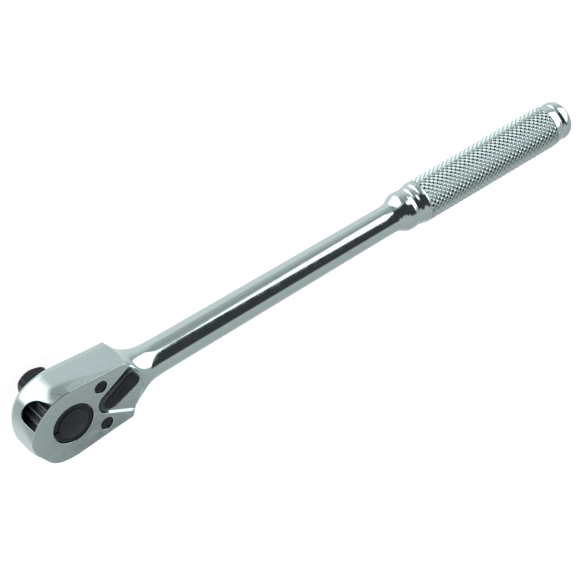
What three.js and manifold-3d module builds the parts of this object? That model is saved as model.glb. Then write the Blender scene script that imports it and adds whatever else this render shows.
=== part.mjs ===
// A reversible ratchet wrench with a 9.53 mm (3/8 inch) square drive. Millimetres, +Z up.
// The origin is the centre of the square drive's end face. +Z runs up the drive axis to the face
// that carries the reversing lever, and +X runs from the drive axis along the handle.
import * as THREE from 'three';
import { mergeVertices } from 'three/addons/utils/BufferGeometryUtils.js';
import Module from 'manifold-3d';

const wasm = await Module();
wasm.setup();

// ---- driving dimensions ----
const SQUARE = 9.53;              // across the flats of the drive
const DRIVE_LENGTH = 10.6;        // drive tip to the head's lower face
const HEAD_THICKNESS = 12.4;
const HALF = HEAD_THICKNESS / 2;
const HEAD_MIDDLE = DRIVE_LENGTH + HALF;

const FACE_RADIUS = 12.85;        // head outline round the drive axis, at the upper face
const NOSE_GROWTH = 1.45;         // how much further the tip of the nose reaches
const FLANK_GROWTH = 0.55;        // extra width of the nose beside its tip
const SIDE_SWELL = 0.45;          // how far the side walls stand out below the upper face
const SIDE_SLOPE = 0.077;         // how fast the side walls close in towards the handle
const SIDE_END = 24;              // the head's outline stops here, inside the neck's flare

const FLARE_RADIUS = 12.5;        // concave neck between the shaft and the head
const FLARE_END = 31.5;           // where the flare meets the shaft
const SHAFT_RADIUS = 5.4;
const SHAFT_THIN_RADIUS = 4.74;
const SHAFT_THIN_AT = 123.2;
const NECK_FLAT = 5.6;            // height of the neck's flat above the head's middle
const GRIP_RADIUS = 7.05;
const GRIP_START = 137.8;
const GRIP_END = 192.6;
const WRENCH_END = 200.2;

const CHAMBER_RADIUS = 11.5;      // hollow round the gear
const CHAMBER_TOP = 4.3;
const COVER_THICKNESS = 1.6;
const CHAMBER_BACK = 17;
const FACE_BORE = 7;
const RING_SEAT = 5.4;            // floor of the face bore
const JOURNAL_RADIUS = 5.3;
const RUNNING_GAP = 0.12;

const CHEEK_INNER = 10.6;         // the face plate's least radius inside a window
const WINDOW_AZIMUTH = 118;       // degrees from +X that the left window is cut from
const WINDOW_SLANT = 30;          // degrees above level that it is cut from
const WINDOW_DEPTH = 6;           // the cut stops this far from the drive axis
const SCREW_X = 19.4;
const SCREW_Y = 4.4;

const TEETH = 24;
const GEAR_TIP = 10.9;
const GEAR_ROOT = 9.6;
const GEAR_PHASE = 8.5;           // degrees from +X to the first tooth
const GEAR_TOP = 4.0;
const GEAR_BOTTOM = -4.2;
const COLLAR_RADIUS = 7.3;
const COLLAR_BOTTOM = -6.8;

const PIN_X = 10.82;
const PIN_Y = 7.66;
const PIN_RADIUS = 2.16;
const PAWL_TOP = 4.0;
const PAWL_BOTTOM = -4.2;
const PAWL_SWING = 15;            // degrees a pawl turns between in mesh and lifted
const PAWL_BOSS = 3.05;

const LEVER_X = 13;
const LEVER_REST = 26.5;          // degrees, towards +Y
const LEVER_HALF_WIDTH = 3.6;
const LEVER_REACH = 11.5;
const LEVER_FOOT = 5.5;
const LEVER_TOP = 7.1;
const RECESS_ANGLE = 28;
const RECESS_FLOOR = 5.2;
const RECESS_RADIUS = 4;
const RECESS_REACH = 12.1;
const LEVER_SHAFT = 2.2;
const CAM_RADIUS = 1.75;
const CAM_OFFSET = 0.15;
const CAM_BORE = 1.05;            // in the cam, round the lever's lower shaft

const BALL_RADIUS = 1.6;
const BALL_STANDS_OUT = 0.8;
const BALL_HEIGHT = 5.2;          // above the drive tip

// ---- materials ----
function steel(color, roughness, metalness) {
  return new THREE.MeshStandardMaterial({ color, roughness, metalness });
}
const chrome = steel(0xc9d2d2, 0.12, 1);
const blackSteel = steel(0x26292b, 0.4, 0.6);
const brightSteel = steel(0x9a9c9e, 0.3, 1);
const springSteel = steel(0x6f7173, 0.35, 1);

// ---- helpers ----
const radians = THREE.MathUtils.degToRad;

function smoothStep(value) {
  const t = THREE.MathUtils.clamp(value, 0, 1);
  return t * t * (3 - 2 * t);
}

function solid(geometry) {
  const bare = geometry.clone();
  bare.deleteAttribute('normal');
  bare.deleteAttribute('uv');
  const merged = mergeVertices(bare, 1e-4);
  return new wasm.Manifold(new wasm.Mesh({
    numProp: 3,
    vertProperties: new Float32Array(merged.attributes.position.array),
    triVerts: new Uint32Array(merged.index.array),
  }));
}

function namedMesh(shape, name, material) {
  const { vertProperties, triVerts } = shape.getMesh();
  const geometry = new THREE.BufferGeometry();
  geometry.setAttribute('position', new THREE.BufferAttribute(vertProperties, 3));
  geometry.setIndex(new THREE.BufferAttribute(triVerts, 1));
  geometry.computeVertexNormals();
  const mesh = new THREE.Mesh(geometry, material);
  mesh.name = name;
  return mesh;
}

function prism(shape, bottom, top, curveSegments = 16) {
  const geometry = new THREE.ExtrudeGeometry(shape, {
    depth: top - bottom, bevelEnabled: false, curveSegments,
  });
  geometry.translate(0, 0, bottom);
  return solid(geometry);
}

function cylinder(radius, bottom, top, x = 0, y = 0, sides = 32) {
  const geometry = new THREE.CylinderGeometry(radius, radius, top - bottom, sides);
  geometry.rotateX(Math.PI / 2);
  geometry.translate(x, y, (top + bottom) / 2);
  return solid(geometry);
}

// Turned about Z from [radius, z] points that start and end on the axis.
function turned(profile, sides = 48) {
  const points = profile.map(([radius, z]) => new THREE.Vector2(radius, z));
  const geometry = new THREE.LatheGeometry(points, sides);
  geometry.rotateX(Math.PI / 2);
  return solid(geometry);
}

// A closed stack of rings with the same number of points, from the lowest to the highest.
function stack(rings) {
  const count = rings[0].length;
  const positions = rings.flat(2);
  const index = [];
  for (let level = 0; level + 1 < rings.length; level += 1) {
    for (let i = 0; i < count; i += 1) {
      const next = (i + 1) % count;
      const a = level * count + i;
      const b = level * count + next;
      index.push(a, b, b + count, a, b + count, a + count);
    }
  }
  const outline = rings[0].map(([x, y]) => new THREE.Vector2(x, y));
  const highest = (rings.length - 1) * count;
  for (const [a, b, c] of THREE.ShapeUtils.triangulateShape(outline, [])) {
    index.push(a, c, b);
    index.push(highest + a, highest + b, highest + c);
  }
  const geometry = new THREE.BufferGeometry();
  geometry.setAttribute('position', new THREE.Float32BufferAttribute(positions, 3));
  geometry.setIndex(index);
  return solid(geometry);
}

function polygon(points) {
  return new THREE.Shape(points.map(([x, y]) => new THREE.Vector2(x, y)));
}

function onCircle(radius, degrees) {
  return [radius * Math.cos(radians(degrees)), radius * Math.sin(radians(degrees))];
}

// A ring of points at one level, from its half on the +Y side, whose last point is on the X axis.
function mirroredRing(half, level) {
  const other = half.slice(0, -1).reverse().map(([x, y]) => [x, -y]);
  return [...half, ...other].map(([x, y]) => [x, y, level]);
}

// ---- handle body: head, neck, shaft, collar, grip ----
const NOSE_ANGLES = Array.from({ length: 17 }, (_, i) => 86 + (94 * i) / 16);

// How far the upper face's outline stands outside FACE_RADIUS at an angle from +X.
function faceGrowth(degrees) {
  return NOSE_GROWTH * smoothStep((degrees - 125) / 55);
}

// The same at the head's widest level.
function noseGrowth(degrees) {
  const beside = Math.sin(Math.PI * THREE.MathUtils.clamp((degrees - 100) / 80, 0, 1)) ** 2;
  return SIDE_SWELL + (NOSE_GROWTH - SIDE_SWELL) * smoothStep((degrees - 86) / 50)
    + FLANK_GROWTH * beside;
}

// The part of that growth that is left at a level between the lower and the upper face.
function levelDrop(level, swell, kept, startLevel, lowerEdge) {
  if (level > startLevel) {
    return (swell - kept) * ((level - startLevel) / (HALF - startLevel)) ** 2;
  }
  const lowerStart = 4;
  return level < -lowerStart ? lowerEdge * ((-level - lowerStart) / (HALF - lowerStart)) ** 2 : 0;
}

function headRing(level) {
  const half = [];
  for (const x of [SIDE_END, 20.5, 17, 13, 9, 5]) {
    const swell = SIDE_SWELL * Math.max(0, 1 - x / 17);
    const start = 1 + 4.4 * Math.min(1, x / 17);
    const drop = levelDrop(level, swell, 0, start, 0.3);
    half.push([x, FACE_RADIUS - SIDE_SLOPE * x + swell - drop]);
  }
  for (const degrees of NOSE_ANGLES) {
    const swell = noseGrowth(degrees);
    const lowerEdge = 0.3 + 0.9 * smoothStep((degrees - 86) / 40);
    const drop = levelDrop(level, swell, faceGrowth(degrees), 1, lowerEdge);
    half.push(onCircle(FACE_RADIUS + swell - drop, degrees));
  }
  return mirroredRing(half, level);
}

function headBlock() {
  const levels = [-HALF, -5.7, -5, -4, 1, 2.5, 4, 5, 5.7, HALF];
  return stack(levels.map(headRing));
}

// Turned about the handle's axis from [x, radius] points.
function handleTurning(profile) {
  const points = profile.map(([x, radius]) => new THREE.Vector2(radius, x));
  const geometry = new THREE.LatheGeometry(points, 32);
  geometry.rotateZ(-Math.PI / 2);
  return solid(geometry);
}

function flareProfile(steps) {
  const points = [];
  for (let i = 0; i <= steps; i += 1) {
    const angle = (Math.PI / 2) * (i / steps);
    points.push([
      FLARE_END - FLARE_RADIUS * Math.cos(angle),
      SHAFT_RADIUS + FLARE_RADIUS * (1 - Math.sin(angle)),
    ]);
  }
  return points;
}

function handleProfile() {
  return [
    [SHAFT_THIN_AT, SHAFT_THIN_RADIUS],
    [125.2, 4.9], [127, 5.5], [128.2, 6.05], [129.6, 6.33], [131.2, 6.3], [132.3, 6.0],
    [134.2, 6.08], [135.4, 5.75], [136.4, 5.8], [GRIP_START - 0.2, 6.9],
    [GRIP_START, GRIP_RADIUS], [GRIP_END, GRIP_RADIUS],
    [194.3, 6.15], [195.2, 6.35], [196.4, 6.35], [197, 6.1], [197.8, 6.3],
    [198.8, 6.25], [199.7, 5.6], [WRENCH_END - 0.1, 4.5], [WRENCH_END, 0],
  ];
}

function handleRod() {
  const start = 20;
  const rod = handleTurning([[start, 0], ...flareProfile(9).filter(([x]) => x >= start),
    ...handleProfile()]);
  const above = new THREE.BoxGeometry(20, 40, 20);
  above.translate(start + 5, 0, NECK_FLAT + 10);
  const below = new THREE.BoxGeometry(20, 40, 20);
  below.translate(start + 5, 0, -HALF - 10);
  return rod.subtract(solid(above)).subtract(solid(below));
}

function chamberOutline(margin) {
  const back = CHAMBER_BACK + margin;
  const corner = 10.7 + margin;
  return polygon([
    [4, -9 - margin], [12, -corner], [back, -5.6 - margin],
    [back, 5.6 + margin], [12, corner], [4, 9 + margin],
  ]);
}

function chamber() {
  const seat = COVER_THICKNESS - HALF;
  let hollow = cylinder(CHAMBER_RADIUS, -HALF - 1, CHAMBER_TOP, 0, 0, 60)
    .add(prism(chamberOutline(0), -HALF - 1, CHAMBER_TOP))
    .add(prism(coverOutline(0.08), -HALF - 1, seat));
  for (const side of [1, -1]) {
    hollow = hollow.add(cylinder(3.4, -HALF - 1, CHAMBER_TOP, PIN_X, side * PIN_Y));
  }
  return hollow;
}

// What the windows leave of the head: the plate under the upper face, undercut to its edge.
function cheek() {
  const ring = (level, radiusAt) => mirroredRing(
    [5, 30, 58, ...NOSE_ANGLES].map((degrees) => onCircle(radiusAt(degrees), degrees)), level,
  );
  const edge = (degrees) => FACE_RADIUS + faceGrowth(degrees) + 0.12;
  return stack([
    ring(-HALF - 1, () => CHEEK_INNER), ring(CHAMBER_TOP, () => CHEEK_INNER),
    ring(CHAMBER_TOP + 0.6, () => CHEEK_INNER + 0.8), ring(HALF - 0.15, edge), ring(HALF + 3, edge),
  ]);
}

// A window is cut into the nose's flank from outside, slanting down to the gear. Its outline is
// drawn across the cut, with x growing towards the nose's tip.
function flankWindow(side) {
  const outline = new THREE.Shape();
  outline.moveTo(8.75, 4);
  outline.lineTo(-2.6, 4);
  outline.lineTo(0.9, -4.6);
  outline.quadraticCurveTo(1.9, -7.1, 4.6, -7.3);
  outline.lineTo(6.3, -7.25);
  outline.quadraticCurveTo(8.1, -6.9, 8.6, -2);
  outline.closePath();
  const geometry = new THREE.ExtrudeGeometry(outline, {
    depth: 12, bevelEnabled: false, curveSegments: 8,
  });
  geometry.translate(0, 0, WINDOW_DEPTH);
  geometry.rotateX(radians(90 - WINDOW_SLANT));
  geometry.rotateZ(radians(90 + WINDOW_AZIMUTH));
  const window = solid(geometry).subtract(cheek());
  return side > 0 ? window : window.mirror([0, 1, 0]);
}

function leverRecess() {
  const outline = new THREE.Shape();
  const angle = radians(RECESS_ANGLE);
  const far = 26;
  outline.absarc(LEVER_X, 0, RECESS_RADIUS, Math.PI / 2 + angle, 1.5 * Math.PI - angle, false);
  outline.lineTo(
    LEVER_X - RECESS_RADIUS * Math.sin(angle) + far * Math.cos(angle),
    -RECESS_RADIUS * Math.cos(angle) - far * Math.sin(angle),
  );
  outline.lineTo(
    LEVER_X - RECESS_RADIUS * Math.sin(angle) + far * Math.cos(angle),
    RECESS_RADIUS * Math.cos(angle) + far * Math.sin(angle),
  );
  outline.closePath();
  const swept = prism(outline, RECESS_FLOOR, HALF + 1);
  const beyond = prism(outline, NECK_FLAT, HALF + 1);
  return swept.intersect(cylinder(RECESS_REACH, RECESS_FLOOR, HALF + 1, LEVER_X, 0, 96))
    .add(beyond);
}

function handleBody() {
  const flare = handleTurning([[-18, 0], [-18, 19], ...flareProfile(9), [FLARE_END, 0]]);
  let body = headBlock().intersect(flare).add(handleRod());
  body = body.subtract(chamber());
  body = body.subtract(flankWindow(1)).subtract(flankWindow(-1));
  body = body.subtract(leverRecess());
  body = body.subtract(cylinder(FACE_BORE, RING_SEAT, HALF + 1, 0, 0, 64));
  body = body.subtract(cylinder(JOURNAL_RADIUS + RUNNING_GAP, 0, HALF, 0, 0, 64));
  body = body.subtract(cylinder(LEVER_SHAFT + RUNNING_GAP, 0, HALF, LEVER_X, 0));
  for (const side of [1, -1]) {
    body = body.subtract(cylinder(PIN_RADIUS + 0.05, 0, HALF + 1, PIN_X, side * PIN_Y));
    body = body.subtract(cylinder(1.3, -HALF, -0.9, SCREW_X, side * SCREW_Y, 24));
  }
  return namedMesh(body, 'handle_body', chrome);
}

// ---- cover plate and its screws ----
function coverOutline(margin) {
  const edge = 0.7 + margin;
  const shape = new THREE.Shape();
  const joint = radians(62);
  shape.absarc(0, 0, CHAMBER_RADIUS + edge - 0.1, joint, 2 * Math.PI - joint, false);
  shape.lineTo(12.2, -10.7 - edge);
  shape.lineTo(21.6 + margin, -6.2 - margin);
  shape.lineTo(21.6 + margin, 6.2 + margin);
  shape.lineTo(12.2, 10.7 + edge);
  shape.closePath();
  return shape;
}

function coverPlate() {
  const top = COVER_THICKNESS - HALF - 0.05;
  let plate = prism(coverOutline(0), -HALF, top);
  plate = plate.subtract(cylinder(COLLAR_RADIUS + RUNNING_GAP, -HALF - 1, top + 1, 0, 0, 64));
  for (const side of [1, -1]) {
    plate = plate.subtract(cylinder(PIN_RADIUS + 0.05, -HALF - 1, top + 1, PIN_X, side * PIN_Y));
    plate = plate.subtract(screwShape(SCREW_X, side * SCREW_Y, 0.08));
  }
  return namedMesh(plate, 'cover_plate', blackSteel);
}

// A countersunk screw whose head is flush with the lower face, made `margin` larger all round.
function screwShape(x, y, margin) {
  return turned([
    [0, -HALF - margin], [2.2 + margin, -HALF - margin], [2.2 + margin, -HALF + 0.25],
    [1.2 + margin, -HALF + 1.25], [1.2 + margin, -1.5], [0, -1.2],
  ], 24).translate(x, y, 0);
}

function coverScrew(side, name) {
  const slot = new THREE.BoxGeometry(3.6, 0.6, 1);
  slot.translate(SCREW_X, side * SCREW_Y, -HALF);
  return namedMesh(screwShape(SCREW_X, side * SCREW_Y, 0).subtract(solid(slot)), name, blackSteel);
}

// ---- drive gear: toothed ring, spindle and square drive ----
function gearOutline() {
  const shape = [];
  const pitch = (2 * Math.PI) / TEETH;
  const first = radians(GEAR_PHASE);
  for (let tooth = 0; tooth < TEETH; tooth += 1) {
    const middle = first + tooth * pitch;
    const corners = [[-0.36, GEAR_ROOT], [-0.07, GEAR_TIP], [0.07, GEAR_TIP], [0.36, GEAR_ROOT]];
    for (const [offset, radius] of corners) {
      const angle = middle + offset * pitch;
      shape.push([radius * Math.cos(angle), radius * Math.sin(angle)]);
    }
  }
  return polygon(shape);
}

function squareDrive() {
  const half = SQUARE / 2;
  const square = polygon([[half, -half], [half, half], [-half, half], [-half, -half]]);
  const tip = -HEAD_MIDDLE;
  const rounded = turned([
    [0, tip], [4.35, tip], [6.1, tip + 1.5], [6.3, tip + 2.2], [6.3, 0], [0, 0],
  ], 64);
  const hole = new THREE.CylinderGeometry(BALL_RADIUS + 0.12, BALL_RADIUS + 0.12, 8, 24);
  hole.rotateZ(Math.PI / 2);
  hole.translate(-1.6 + 4, 0, tip + BALL_HEIGHT);
  return prism(square, tip, COLLAR_BOTTOM + 1).intersect(rounded).subtract(solid(hole));
}

function driveGear() {
  const ring = prism(gearOutline(), GEAR_BOTTOM, GEAR_TOP);
  const spindle = turned([
    [0, COLLAR_BOTTOM], [COLLAR_RADIUS - 0.4, COLLAR_BOTTOM], [COLLAR_RADIUS, COLLAR_BOTTOM + 0.4],
    [COLLAR_RADIUS, 0], [JOURNAL_RADIUS, 0], [JOURNAL_RADIUS, RING_SEAT], [4.6, RING_SEAT],
    [4.6, 6.05], [5.2, 6.05], [5.2, 6.25], [4.9, 6.5], [3.6, 6.72], [0, 6.8],
  ], 64);
  return namedMesh(ring.add(spindle).add(squareDrive()), 'drive_gear', blackSteel);
}

// An open ring in the spindle's groove, between two radii, with a gap towards -X.
function retainingRing() {
  const ring = new THREE.Shape();
  const gap = radians(14);
  ring.absarc(0, 0, 6.75, -Math.PI + gap, Math.PI - gap, false);
  ring.absarc(0, 0, 4.72, Math.PI - gap, -Math.PI + gap, true);
  ring.closePath();
  return namedMesh(prism(ring, RING_SEAT + 0.05, 5.98, 28), 'retaining_ring', blackSteel);
}

function detentBall() {
  const ball = new THREE.SphereGeometry(BALL_RADIUS, 16, 10);
  const mesh = namedMesh(solid(ball), 'detent_ball', brightSteel);
  mesh.position.set(SQUARE / 2 - BALL_RADIUS + BALL_STANDS_OUT, 0, BALL_HEIGHT - HEAD_MIDDLE);
  return mesh;
}

// ---- springs ----
class Helix extends THREE.Curve {
  constructor(radius, length, turns) {
    super();
    this.radius = radius;
    this.length = length;
    this.turns = turns;
  }

  getPoint(t, target = new THREE.Vector3()) {
    const angle = 2 * Math.PI * this.turns * t;
    return target.set(this.length * t, this.radius * Math.cos(angle), this.radius * Math.sin(angle));
  }
}

// A coil spring along its own +X, with its first end at the mesh's position.
function coilSpring(name, radius, length, turns, wire) {
  const section = polygon([[wire, 0], [0, wire], [-wire, 0], [0, -wire]]);
  const geometry = new THREE.ExtrudeGeometry(section, {
    steps: turns * 10, extrudePath: new Helix(radius, length, turns),
  });
  return namedMesh(solid(geometry), name, springSteel);
}

function detentSpring() {
  const spring = coilSpring('detent_spring', 1.05, 3.1, 4, 0.22);
  spring.position.set(-1.3, 0, BALL_HEIGHT - HEAD_MIDDLE);
  return spring;
}

// ---- pawls, their pins and springs ----
// The pawl beside the lever, in mesh with the gear, drawn on the +Y side of the head.
function pawlShape() {
  const outline = polygon([
    onCircle(11.25, 9.5), onCircle(11.2, 12.6), onCircle(GEAR_ROOT + 0.45, 14.4),
    onCircle(GEAR_ROOT + 0.45, 15.6), onCircle(11.2, 17.4), onCircle(11.25, 24), [9.4, 6.4],
    [PIN_X - 1.6, PIN_Y + 1], [PIN_X + 3, PIN_Y], [13.4, 5.4], [13.1, 3.4], [12.2, 1.7],
  ]);
  const toothBlock = prism(polygon([
    onCircle(11.6, 11.2), onCircle(GEAR_ROOT + 0.4, 14), onCircle(GEAR_ROOT + 0.4, 16),
    onCircle(11.6, 18.8),
  ]), PAWL_BOTTOM, PAWL_TOP);
  const swept = (shape, degrees) => shape.translate(-PIN_X, -PIN_Y, 0)
    .rotate([0, 0, -degrees]).translate(PIN_X, PIN_Y, 0);
  let pawl = prism(outline, PAWL_BOTTOM, PAWL_TOP)
    .add(cylinder(PAWL_BOSS, PAWL_BOTTOM, PAWL_TOP, PIN_X, PIN_Y));
  for (const degrees of [0, PAWL_SWING / 2, PAWL_SWING]) {
    pawl = pawl.subtract(swept(cylinder(GEAR_TIP + 0.3, -9, 9, 0, 0, 96), degrees));
  }
  pawl = pawl.add(toothBlock);
  for (const degrees of [0, PAWL_SWING / 2, PAWL_SWING]) {
    const cam = cylinder(CAM_RADIUS + CAM_OFFSET + 0.3, -9, 9, LEVER_X, 0);
    pawl = pawl.subtract(swept(cam, degrees));
  }
  return pawl
    .subtract(cylinder(PIN_RADIUS + RUNNING_GAP, -9, 9, PIN_X, PIN_Y))
    .translate(-PIN_X, -PIN_Y, 0);
}

function pawl(side, name, swing) {
  const shape = side > 0 ? pawlShape() : pawlShape().mirror([0, 1, 0]);
  const mesh = namedMesh(shape, name, blackSteel);
  mesh.position.set(PIN_X, side * PIN_Y, 0);
  mesh.rotation.z = radians(swing);
  return mesh;
}

function pawlPin(side, name) {
  const pin = turned([
    [0, -HALF + 0.2], [PIN_RADIUS - 0.25, -HALF + 0.2], [PIN_RADIUS, -HALF + 0.45],
    [PIN_RADIUS, HALF - 0.55], [PIN_RADIUS - 0.25, HALF - 0.3], [0, HALF - 0.3],
  ], 40);
  const mesh = namedMesh(pin, name, blackSteel);
  mesh.position.set(PIN_X, side * PIN_Y, 0);
  return mesh;
}

function pawlSpring(side, name, start) {
  const spring = coilSpring(name, 0.9, CHAMBER_BACK - 0.3 - start, 4, 0.2);
  spring.position.set(start, side * 4.3, 0);
  return spring;
}

// ---- reversing lever and its cam, drawn pointing along +X from their own axis ----
function leverOutline(inset) {
  const half = LEVER_HALF_WIDTH - inset;
  const reach = LEVER_REACH - inset;
  const round = 2.2;
  const shape = new THREE.Shape();
  shape.absarc(0, 0, half, Math.PI / 2, 1.5 * Math.PI, false);
  shape.lineTo(reach - round - 0.6, -half);
  shape.quadraticCurveTo(reach - 0.5, -half, reach - 0.3, -half + round);
  shape.quadraticCurveTo(reach + 0.15, 0, reach - 0.3, half - round);
  shape.quadraticCurveTo(reach - 0.5, half, reach - round - 0.6, half);
  shape.closePath();
  return shape;
}

function reversingLever() {
  const levels = [
    [LEVER_FOOT, 0.15], [LEVER_FOOT + 0.3, 0], [LEVER_TOP - 0.8, 0], [LEVER_TOP - 0.35, 0.35],
    [LEVER_TOP - 0.1, 1], [LEVER_TOP, 1.9],
  ];
  const rings = levels.map(([level, inset]) => leverOutline(inset).getPoints(8).slice(0, -1)
    .map(({ x, y }) => [x, y, level]));
  const shaft = turned([
    [0, PAWL_BOTTOM], [CAM_BORE - 0.05, PAWL_BOTTOM], [CAM_BORE - 0.05, 3.9], [LEVER_SHAFT, 3.9],
    [LEVER_SHAFT, LEVER_FOOT + 0.5], [0, LEVER_FOOT + 0.5],
  ], 40);
  const groove = turned([[0, -3.6], [3, -3.6], [3, -3], [0, -3]], 40)
    .subtract(cylinder(0.7, -9, 9));
  return namedMesh(stack(rings).add(shaft).subtract(groove), 'reversing_lever', blackSteel);
}

function selectorCam() {
  const cam = cylinder(CAM_RADIUS, -2.9, 3.6, -CAM_OFFSET, 0)
    .subtract(cylinder(CAM_BORE, -9, 9));
  return namedMesh(cam, 'selector_cam', blackSteel);
}

function selectorClip() {
  const clip = new THREE.Shape();
  const gap = radians(28);
  clip.absarc(0, 0, 1.9, -Math.PI + gap, Math.PI - gap, false);
  clip.absarc(0, 0, 0.75, Math.PI - gap, -Math.PI + gap, true);
  clip.closePath();
  return namedMesh(prism(clip, -3.5, -3.1, 20), 'selector_clip', springSteel);
}

// ---- assembly ----
const head = new THREE.Group();
head.position.z = HEAD_MIDDLE;
head.add(handleBody());
head.add(coverPlate());
head.add(coverScrew(1, 'cover_screw_left'));
head.add(coverScrew(-1, 'cover_screw_right'));
head.add(driveGear());
head.add(retainingRing());
head.add(detentBall());
head.add(detentSpring());
head.add(pawlPin(1, 'pawl_pin_left'));
head.add(pawlPin(-1, 'pawl_pin_right'));
head.add(pawl(1, 'pawl_left', 0));
head.add(pawl(-1, 'pawl_right', -PAWL_SWING));
head.add(pawlSpring(1, 'pawl_spring_left', 13.6));
head.add(pawlSpring(-1, 'pawl_spring_right', 14.9));

const lever = new THREE.Group();
lever.position.x = LEVER_X;
lever.rotation.z = radians(LEVER_REST);
lever.add(reversingLever());
lever.add(selectorCam());
lever.add(selectorClip());
head.add(lever);

const wrench = new THREE.Group();
wrench.add(head);

export default wrench;
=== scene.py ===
import math

import bpy
import numpy as np
from mathutils import Euler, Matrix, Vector


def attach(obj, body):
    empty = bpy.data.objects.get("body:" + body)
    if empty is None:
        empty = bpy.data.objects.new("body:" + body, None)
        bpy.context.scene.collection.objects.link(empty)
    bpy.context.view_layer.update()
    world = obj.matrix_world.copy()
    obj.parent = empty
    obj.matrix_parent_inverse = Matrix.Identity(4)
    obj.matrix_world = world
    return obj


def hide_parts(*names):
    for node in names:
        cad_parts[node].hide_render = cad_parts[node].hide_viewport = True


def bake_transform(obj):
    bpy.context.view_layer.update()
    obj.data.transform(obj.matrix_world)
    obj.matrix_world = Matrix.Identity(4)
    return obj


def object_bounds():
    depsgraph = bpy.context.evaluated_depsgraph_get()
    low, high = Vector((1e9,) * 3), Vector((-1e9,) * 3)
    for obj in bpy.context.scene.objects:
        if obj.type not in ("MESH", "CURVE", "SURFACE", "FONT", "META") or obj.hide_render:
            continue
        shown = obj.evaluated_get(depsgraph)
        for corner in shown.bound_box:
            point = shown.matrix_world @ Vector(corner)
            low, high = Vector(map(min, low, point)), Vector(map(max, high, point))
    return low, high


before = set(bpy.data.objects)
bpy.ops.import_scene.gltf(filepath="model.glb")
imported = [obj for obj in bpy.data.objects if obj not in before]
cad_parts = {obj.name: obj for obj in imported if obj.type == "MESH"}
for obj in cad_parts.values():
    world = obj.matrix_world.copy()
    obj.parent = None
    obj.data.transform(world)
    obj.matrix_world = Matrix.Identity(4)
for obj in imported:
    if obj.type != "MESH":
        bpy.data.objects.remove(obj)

CAD_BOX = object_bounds()
MM = 0.001

# ---- sizes in millimetres: x and y from the drive axis, z from the head's middle level ----
HEAD_MIDDLE = 16.8     # the head's middle level above the drive's tip
HALF = 6.2             # half the head's height
FACE_RADIUS = 12.85
NOSE_START = 86        # degrees from the handle where a flank turns into the nose
NOSE_GROWTH = 1.45     # how far the nose's tip stands past the face circle
FLANK_GROWTH = 0.53    # extra fullness of the nose between its tip and a flank
SIDE_SWELL = 0.44      # how far each side bulges between its top and bottom edges
RIGHT_SHARE = 0.75     # of that swell is kept up to the face on the right side
SIDE_SLOPE = 0.077     # each flank closes in by this much per millimetre towards the handle
FLANK_LENGTH = 17
LOWER_BEND = 4         # the walls draw in below this depth under the middle level
UPPER_BEND = 1         # and above this height over it
FLARE_RADIUS = 12.5
FLARE_END = 31.0
FLARE_SOFTNESS = 4.0   # how gently the flare runs out into the shaft
SHAFT_RADIUS = 5.4
SHAFT_THIN_RADIUS = 4.74
SHAFT_THIN_AT = 123.2
NECK_FLAT = 5.74       # level of the flat behind the lever's recess
HEAD_JOIN = 40.0       # where the head's mesh hands over to the turned shaft
GRIP_RADIUS = 7.05
GRIP_START = 137.8
KNURL_END = 192.0
KNURL_PITCH = 1.86
KNURL_DEPTH = 0.41
WRENCH_END = 200.2
CHAMBER_RADIUS = 11.5
CHAMBER_TOP = 4.3
CHAMBER_BACK = 17
CHAMBER_FRONT = 4      # where the pawls' part of the chamber starts
PAWL_ROOM = 3.4        # radius of the chamber round a pawl's pin
FACE_BORE = 7
RING_SEAT = 5.4
RING_INNER, RING_OUTER = 4.72, 6.75
JOURNAL_RADIUS = 5.3
RUNNING_GAP = 0.12     # between pieces that turn in each other
PIN_X, PIN_Y, PIN_RADIUS = 10.82, 7.66, 2.16
GEAR_TEETH = 24
GEAR_TURN = math.radians(8.5)          # where the first tooth stands
GEAR_TIP = 10.9
GEAR_ROOT = 9.6
GEAR_BOTTOM, GEAR_TOP = -4.2, 4.0
COLLAR_RADIUS = 7.3
BOSS_RADIUS = 5.2      # the spindle's domed end in the face
DOME_LEVEL, DOME_RADIUS = -18.06, 24.86
SQUARE_HALF = 4.765    # half the 9.53 mm drive square
SQUARE_CORNER = 5.95   # radius out to its rounded corners
BALL_RADIUS = 1.6
BALL_X = SQUARE_HALF - BALL_RADIUS + 0.8    # the ball stands 0.8 mm out of the square
BALL_LEVEL = -11.6
BALL_SEAT_BACK = -1.6
LEVER_X = 13
LEVER_REST = math.radians(26.5)
LEVER_HALF_WIDTH = 3.6
LEVER_REACH = 11.5
LEVER_TOP = 6.98
LEVER_FOOT = 5.5
LEVER_SHAFT = 2.2
RECESS_ANGLE = math.radians(30)
RECESS_DRAFT = 0.3     # the recess walls lean out by this much per millimetre of height
RECESS_RADIUS = 4
RECESS_REACH = 12.1
RECESS_FLOOR = 5.36
WINDOW_AZIMUTH = math.radians(118)     # the direction of the cut, from the handle
WINDOW_SLANT = math.radians(30)        # and how steeply it rises outwards
WINDOW_BOTTOM = -7.3
WINDOW_BACK = 8.7
WINDOW_DEPTH = 6       # how far from the drive axis the cut starts
CHEEK_TOP = 6.08       # below this level the wall over the window leans in,
CHEEK_SLOPE = 1.365    # by this much per millimetre
COVER_SEAT = -4.6      # the level in the forging that the cover plate lies against
COVER_TOP = -4.65
COVER_LIP = 0.6        # how far its round part reaches past the chamber
COVER_BACK = 21.6
COVER_FRONT = 5.6
SCREW_X, SCREW_Y = 19.4, 4.4
SCREW_HOLE = 1.3
SCREW_HOLE_TOP = -0.9
SCREW_HEAD = 2.18
SCREW_SHANK = 1.15
SINK_TOP = -4.9        # the countersink's upper end
FINE = 1.0


# ---- distance functions: negative inside, in millimetres ----
def ramp(value, low, high):
    """A soft step from 0 at low to 1 at high."""
    t = np.clip((value - low) / (high - low), 0, 1)
    return t * t * (3 - 2 * t)


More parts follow.
